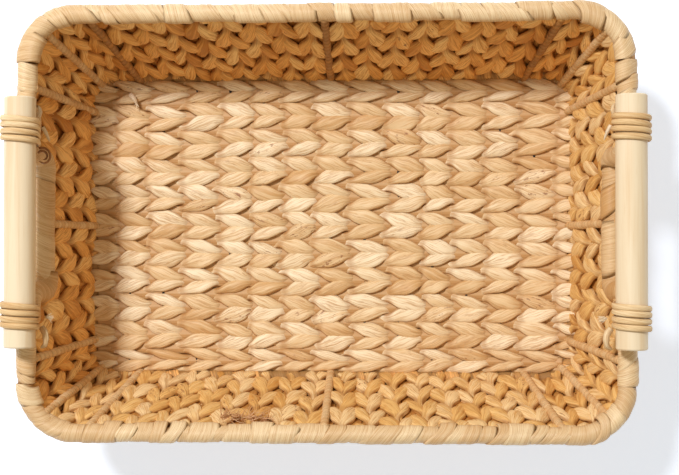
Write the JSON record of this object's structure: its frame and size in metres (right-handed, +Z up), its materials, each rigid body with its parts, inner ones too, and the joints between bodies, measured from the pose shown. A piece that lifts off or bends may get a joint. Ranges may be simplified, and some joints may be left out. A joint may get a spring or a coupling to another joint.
{
  "type": "bread basket",
  "caption": "Rectangular flared bread basket with rounded corners, a twined leaf weave over a welded wire frame, a leaf-wrapped rim with hand holes, and lashed wooden dowel handles.",
  "frame": {"origin": "centre of the underside, on the table", "axes": "+X along the length, from handle to handle; +Y across the width; +Z up, out of the open top"},
  "size_m": [0.3952, 0.271, 0.1233],
  "materials": {
    "frame_wire": "satin",
    "base_wrap_leaf": "matte",
    "stake_strip": "satin",
    "rim_leaf": "satin",
    "floor_leaf": "satin",
    "wall_leaf": "satin",
    "dowel_wood": "satin",
    "lashing_cord": "matte"
  },
  "bodies": {
    "root": {"rim_wire": "frame_wire", "base_wire": "frame_wire", "hoop_lower": "frame_wire", "hoop_middle": "frame_wire", "hoop_upper_front": "frame_wire", "hoop_upper_back": "frame_wire", "floor_wires": "frame_wire", "stakes_front": "frame_wire", "stakes_back": "frame_wire", "stakes_left": "frame_wire", "stakes_right": "frame_wire", "corner_stakes": "frame_wire", "base_wrap": "base_wrap_leaf", "stake_wraps_front": "stake_strip", "stake_wraps_back": "stake_strip", "stake_wraps_left": "stake_strip", "stake_wraps_right": "stake_strip", "corner_stake_wraps": "stake_strip", "rim_wrap_front": "rim_leaf", "rim_wrap_back": "rim_leaf", "rim_wrap_left": "rim_leaf", "rim_wrap_right": "rim_leaf", "floor_row_01": "floor_leaf", "floor_row_02": "floor_leaf", "floor_row_03": "floor_leaf", "floor_row_04": "floor_leaf", "floor_row_05": "floor_leaf", "floor_row_06": "floor_leaf", "floor_row_07": "floor_leaf", "floor_row_08": "floor_leaf", "floor_row_09": "floor_leaf", "floor_row_10": "floor_leaf", "floor_row_11": "floor_leaf", "wall_front_left": "wall_leaf", "wall_front_right": "wall_leaf", "wall_back_left": "wall_leaf", "wall_back_right": "wall_leaf", "wall_left_front": "wall_leaf", "wall_left_back": "wall_leaf", "wall_right_front": "wall_leaf", "wall_right_back": "wall_leaf", "corner_front_left_a": "wall_leaf", "corner_front_left_b": "wall_leaf", "corner_front_right_a": "wall_leaf", "corner_front_right_b": "wall_leaf", "corner_back_left_a": "wall_leaf", "corner_back_left_b": "wall_leaf", "corner_back_right_a": "wall_leaf", "corner_back_right_b": "wall_leaf", "handle_left": "dowel_wood", "handle_right": "dowel_wood", "lashing_left_front": "lashing_cord", "lashing_left_back": "lashing_cord", "lashing_right_front": "lashing_cord", "lashing_right_back": "lashing_cord"}
  },
  "joints": []
}
